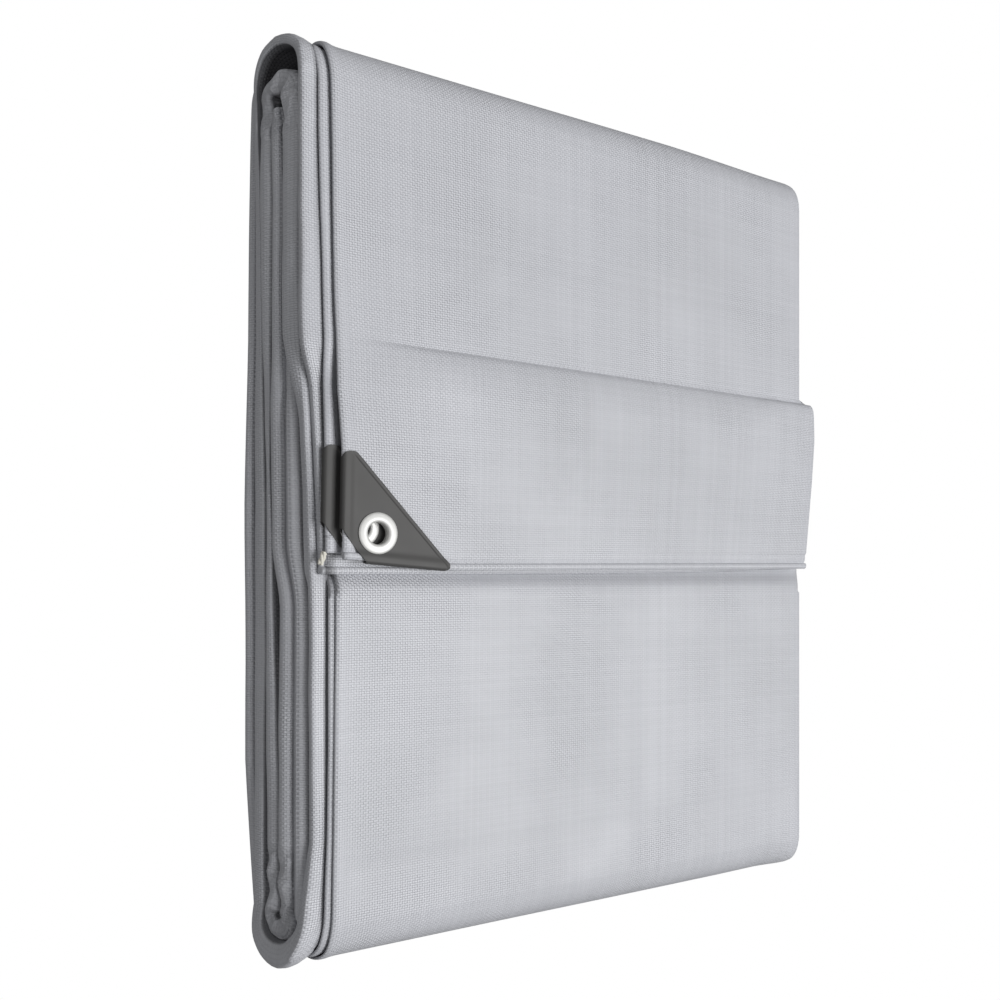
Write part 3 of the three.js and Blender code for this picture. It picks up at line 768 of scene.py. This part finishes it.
class Wire:
    """One number in a node tree, so that shader maths reads as arithmetic."""

    def __init__(self, bench, socket):
        self.bench = bench
        self.socket = socket

    def math(self, operation, *values):
        node = self.bench.node("ShaderNodeMath", {"operation": operation}, dict(enumerate(values)))
        return Wire(self.bench, node.outputs[0])

    def __add__(self, other):
        return self.math("ADD", self, other)

    def __radd__(self, other):
        return self.math("ADD", other, self)

    def __sub__(self, other):
        return self.math("SUBTRACT", self, other)

    def __rsub__(self, other):
        return self.math("SUBTRACT", other, self)

    def __mul__(self, other):
        return self.math("MULTIPLY", self, other)

    def __rmul__(self, other):
        return self.math("MULTIPLY", other, self)

    def __truediv__(self, other):
        return self.math("DIVIDE", self, other)

    def floor(self):
        return self.math("FLOOR", self)

    def fraction(self):
        return self.math("FRACT", self)

    def absolute(self):
        return self.math("ABSOLUTE", self)

    def power(self, exponent):
        return self.math("POWER", self, exponent)


class Bench:
    """A node tree, with a way to add any node to it."""

    def __init__(self, tree):
        self.tree = tree
        tree.nodes.clear()

    def node(self, kind, settings=None, sockets=None):
        made = self.tree.nodes.new(kind)
        for key, value in (settings or {}).items():
            setattr(made, key, value)
        for key, value in (sockets or {}).items():
            if isinstance(value, Wire):
                value = value.socket
            if isinstance(value, bpy.types.NodeSocket):
                self.tree.links.new(value, made.inputs[key])
            else:
                made.inputs[key].default_value = value
        return made

    def number(self, kind, settings=None, sockets=None, output=0):
        return Wire(self, self.node(kind, settings, sockets).outputs[output])

    def noise(self, vector, scale, detail=3):
        return self.number("ShaderNodeTexNoise", None, {
            "Vector": vector, "Scale": scale, "Detail": detail})

    def tint(self, factor, dark, light):
        blend = self.node("ShaderNodeMix", {"data_type": "RGBA"}, {0: factor, 6: dark, 7: light})
        return blend.outputs[2]

    def bump(self, height, distance, strength):
        made = self.node("ShaderNodeBump", None, {
            "Height": height, "Distance": distance, "Strength": strength})
        return made.outputs[0]

    def finish(self, sockets):
        shader = self.node("ShaderNodeBsdfPrincipled", None, sockets)
        self.node("ShaderNodeOutputMaterial", None, {"Surface": shader.outputs[0]})


def new_material(name):
    """A new material and the bench that its nodes are put together on."""
    material = bpy.data.materials.new(name)
    material.use_nodes = True
    return material, Bench(material.node_tree)


# The rope's end: its middle, length, half thickness, turns of its strands and lean
ROPE_PLACE = (-187.6, -32.8, 61.2)
ROPE_LENGTH = 7
ROPE_RADIUS = 1.8
ROPE_TURNS = 0.6
ROPE_LEAN = 0.35


def rope_nodes(material):
    """A node tree that twists three strands into a rope, and the keys of its named inputs."""
    tree = bpy.data.node_groups.new("twisted_rope", "GeometryNodeTree")
    keys = {}
    for name in ("Length", "Radius", "Turns"):
        socket = tree.interface.new_socket(name, in_out="INPUT", socket_type="NodeSocketFloat")
        keys[name] = socket.identifier
    tree.interface.new_socket("Rope", in_out="OUTPUT", socket_type="NodeSocketGeometry")
    bench = Bench(tree)
    given = bench.node("NodeGroupInput").outputs
    half = Wire(bench, given["Radius"]) * 0.5
    twist = bench.node("GeometryNodeCurveSpiral", None, {
        "Resolution": 24, "Rotations": given["Turns"], "Start Radius": half, "End Radius": half,
        "Height": given["Length"]})
    ring = bench.node("GeometryNodeCurvePrimitiveCircle", None, {"Resolution": 12, "Radius": half})
    strand = bench.node("GeometryNodeCurveToMesh", None, {
        "Curve": twist.outputs[0], "Profile Curve": ring.outputs[0], "Fill Caps": True})
    starts = bench.node("GeometryNodePoints", None, {"Count": 3})
    turn = bench.number("GeometryNodeInputIndex") * (2 * math.pi / 3)
    about = bench.node("ShaderNodeCombineXYZ", None, {"Z": turn})
    strands = bench.node("GeometryNodeInstanceOnPoints", None, {
        "Points": starts.outputs[0], "Instance": strand.outputs[0], "Rotation": about.outputs[0]})
    real = bench.node("GeometryNodeRealizeInstances", None, {0: strands.outputs[0]})
    finished = bench.node("GeometryNodeSetMaterial", None, {
        "Geometry": real.outputs[0], "Material": material})
    bench.node("NodeGroupOutput", None, {0: finished.outputs[0]})
    return tree, keys


def rope_end(material):
    """The end of the rope in the rear ply's hem, standing out below its corner."""
    tree, keys = rope_nodes(material)
    rope = new_object("rope_end", [], [], material)
    twist = rope.modifiers.new("twist", "NODES")
    twist.node_group = tree
    for name, size in (("Length", ROPE_LENGTH * MM), ("Radius", ROPE_RADIUS * MM), ("Turns", ROPE_TURNS)):
        twist[keys[name]] = size
    plain_mesh(rope)
    stand = Matrix.Rotation(-ROPE_LEAN, 4, "Z") @ Matrix.Rotation(math.pi / 2, 4, "X")
    middle = Matrix.Translation((0, 0, -ROPE_LENGTH / 2 * MM))
    rope.data.transform(Matrix.Translation(Vector(ROPE_PLACE) * MM) @ stand @ middle)
    return rope


# Width of one tape of the weave, across the strip and along it
WARP_PITCH = 1.6
WEFT_PITCH = 1.35

# The film's colours, the dark colour painted as shade between plies, and the height of its weave and of its
# crumples
FILM_DARK = (0.363, 0.369, 0.396, 1)
FILM_LIGHT = (0.522, 0.530, 0.563, 1)
FILM_PAINTED_SHADE = (0.045, 0.045, 0.05, 1)
WEAVE_HEIGHT = 0.28
CRUMPLE_HEIGHT = 5


def tarp_film():
    """Silver-grey film on woven tape: a fine weave, streaks from tape to tape, crumples, a satin gloss, and
    painted shade between the tapes and between the plies.
    """
    material, bench = new_material("tarp_film")
    cloth = bench.node("ShaderNodeUVMap", {"uv_map": "cloth"}).outputs[0]
    parts = bench.node("ShaderNodeSeparateXYZ", None, {0: cloth})
    u = Wire(bench, parts.outputs[0]) / (WARP_PITCH * MM)
    v = Wire(bench, parts.outputs[1]) / (WEFT_PITCH * MM)
    warp = u.floor()
    weft = v.floor()
    parity = ((warp + weft) * 0.5).fraction() * 2
    ridge_u = 1 - ((u.fraction() - 0.5).absolute() * 2).power(3)
    ridge_v = 1 - ((v.fraction() - 0.5).absolute() * 2).power(3)
    weave = ridge_u * parity + ridge_v * (1 - parity)
    warp_shade = bench.number("ShaderNodeTexWhiteNoise", {"noise_dimensions": "1D"}, {"W": warp})
    weft_shade = bench.number("ShaderNodeTexWhiteNoise", {"noise_dimensions": "1D"}, {"W": weft + 517.3})
    cloud = bench.noise(cloth, 9, detail=4)
    patch = 2 * bench.noise(cloth, 14, detail=2).power(2)
    # The weave's term paints shade into the grooves between tapes; the tape streaks and clouds are tone
    # that differs at random
    shade = 0.14 * warp_shade + 0.1 * weft_shade + 0.36 * cloud + 0.45 * weave * (0.5 + patch)
    colour = bench.tint(shade, FILM_DARK, FILM_LIGHT)
    # Painted shade: the colour goes dark where the cloth lies in shade between plies
    painted_shade_share = bench.number("ShaderNodeAttribute", {"attribute_name": "painted_shade"}, output="Fac")
    colour = bench.tint(painted_shade_share, colour, FILM_PAINTED_SHADE)
    rough = 0.31 + 0.12 * bench.noise(cloth, 30) + 0.06 * warp_shade
    crumpled = bench.number("ShaderNodeAttribute", {"attribute_name": "crumpled"}, output="Fac")
    peaks = bench.number("ShaderNodeTexVoronoi", {"distance": "MANHATTAN"}, {"Vector": cloth, "Scale": 75})
    relief = WEAVE_HEIGHT * MM * weave * (0.2 + 1.5 * patch) + CRUMPLE_HEIGHT * MM * crumpled * peaks
    normal = bench.bump(relief, 1, 0.9)
    bench.finish({"Base Color": colour, "Roughness": rough, "Normal": normal, "Specular IOR Level": 0.4})
    return material


def corner_plastic():
    """Moulded black plastic with a fine grain."""
    material, bench = new_material("corner_plastic")
    here = bench.node("ShaderNodeTexCoord").outputs["Object"]
    grain = bench.noise(here, 1500, detail=2)
    cloud = bench.noise(here, 60)
    colour = bench.tint(cloud, (0.043, 0.042, 0.0413, 1), (0.053, 0.052, 0.051, 1))
    rough = 0.56 + 0.12 * cloud
    bench.finish({"Base Color": colour, "Roughness": rough, "Normal": bench.bump(grain, 0.00005, 0.3)})
    return material


def eyelet_metal():
    """Pressed aluminium, slightly clouded."""
    material, bench = new_material("eyelet_metal")
    here = bench.node("ShaderNodeTexCoord").outputs["Object"]
    cloud = bench.noise(here, 400)
    colour = bench.tint(cloud, (0.50, 0.50, 0.49, 1), (0.60, 0.60, 0.585, 1))
    bench.finish({"Base Color": colour, "Roughness": 0.4 + 0.15 * cloud, "Metallic": 0.25})
    return material


def rope_fibre():
    """Pale fibre of the hem's rope."""
    material, bench = new_material("rope_fibre")
    here = bench.node("ShaderNodeTexCoord").outputs["Object"]
    cloud = bench.noise(here, 900)
    colour = bench.tint(cloud, (0.52, 0.50, 0.44, 1), (0.68, 0.66, 0.60, 1))
    bench.finish({"Base Color": colour, "Roughness": 0.85, "Normal": bench.bump(cloud, 0.0003, 0.6)})
    return material


def white_floor():
    """A floor lit to plain white."""
    material, bench = new_material("white_floor")
    shader = bench.node("ShaderNodeEmission", None, {"Color": (1, 1, 1, 1), "Strength": 1.0})
    bench.node("ShaderNodeOutputMaterial", None, {"Surface": shader.outputs[0]})
    return material


# Brightness of the room, and the place, size and power of each light
ROOM_LIGHT = 0.19
KEY_LIGHT = dict(place=(1500, -500, 3600), size=2200, watts=182)
FILL_LIGHT = dict(place=(-2600, 300, 900), size=1500, watts=11)


def soft_light(name, place, size, watts):
    """A square soft light aimed at the middle of the pack."""
    lamp = bpy.data.lights.new(name, "AREA")
    lamp.energy = watts
    lamp.size = size * MM
    holder = bpy.data.objects.new(name, lamp)
    bpy.context.collection.objects.link(holder)
    holder.location = Vector(place) * MM
    holder.rotation_euler = (Vector((0, 0, 40)) - Vector(place)).to_track_quat("-Z", "Y").to_euler()


def studio():
    """White floor, soft light from the front right, a weak one from the left and a dim room."""
    reach = 4000
    corners = [(-reach, -reach, -1), (reach, -reach, -1), (reach, reach, -1), (-reach, reach, -1)]
    floor = new_object("floor", corners, [[0, 1, 2, 3]], white_floor())
    floor.visible_diffuse = False
    floor.visible_shadow = False
    floor.visible_glossy = False
    world = bpy.context.scene.world or bpy.data.worlds.new("room")
    bpy.context.scene.world = world
    world.use_nodes = True
    background = world.node_tree.nodes["Background"]
    background.inputs[0].default_value = (1, 1, 1, 1)
    background.inputs[1].default_value = ROOM_LIGHT
    soft_light("key", **KEY_LIGHT)
    soft_light("fill", **FILL_LIGHT)
    bpy.context.scene.view_settings.view_transform = "Standard"


# The camera stands in front of the pack and to its left, level with the flap's lower edge
CAMERA_PLACE = (-366, -43, 559.1)
CAMERA_TURN = math.atan2(0.5045, 0.863)
CAMERA_LENS = 34.2
CAMERA_SHIFT = 0.077


def photo_camera():
    """The camera at the photograph's angle to the front face."""
    data = bpy.data.cameras.new("camera")
    data.lens = CAMERA_LENS
    data.sensor_width = 36
    data.shift_y = CAMERA_SHIFT
    data.clip_start = 0.01
    camera = bpy.data.objects.new("camera", data)
    bpy.context.collection.objects.link(camera)
    camera.location = Vector(CAMERA_PLACE) * MM
    camera.rotation_euler = (0, -CAMERA_TURN, 0)
    bpy.context.scene.camera = camera


def settle(piece, node):
    """Hangs a piece on the root body and hides the solid of the model that it takes the place of."""
    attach(piece, "root")
    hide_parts(node)


photo_camera()
studio()

sheet = tarp_sheet(tarp_film())
settle(sheet, "tarp")

plastic = corner_plastic()
metal = eyelet_metal()
for place in ("front", "rear"):
    settle(corner_sleeve(place, plastic), "corner_" + place)
    settle(eyelet_ring(place, metal), "eyelet_" + place)
settle(rope_end(rope_fibre()), "hem_rope")
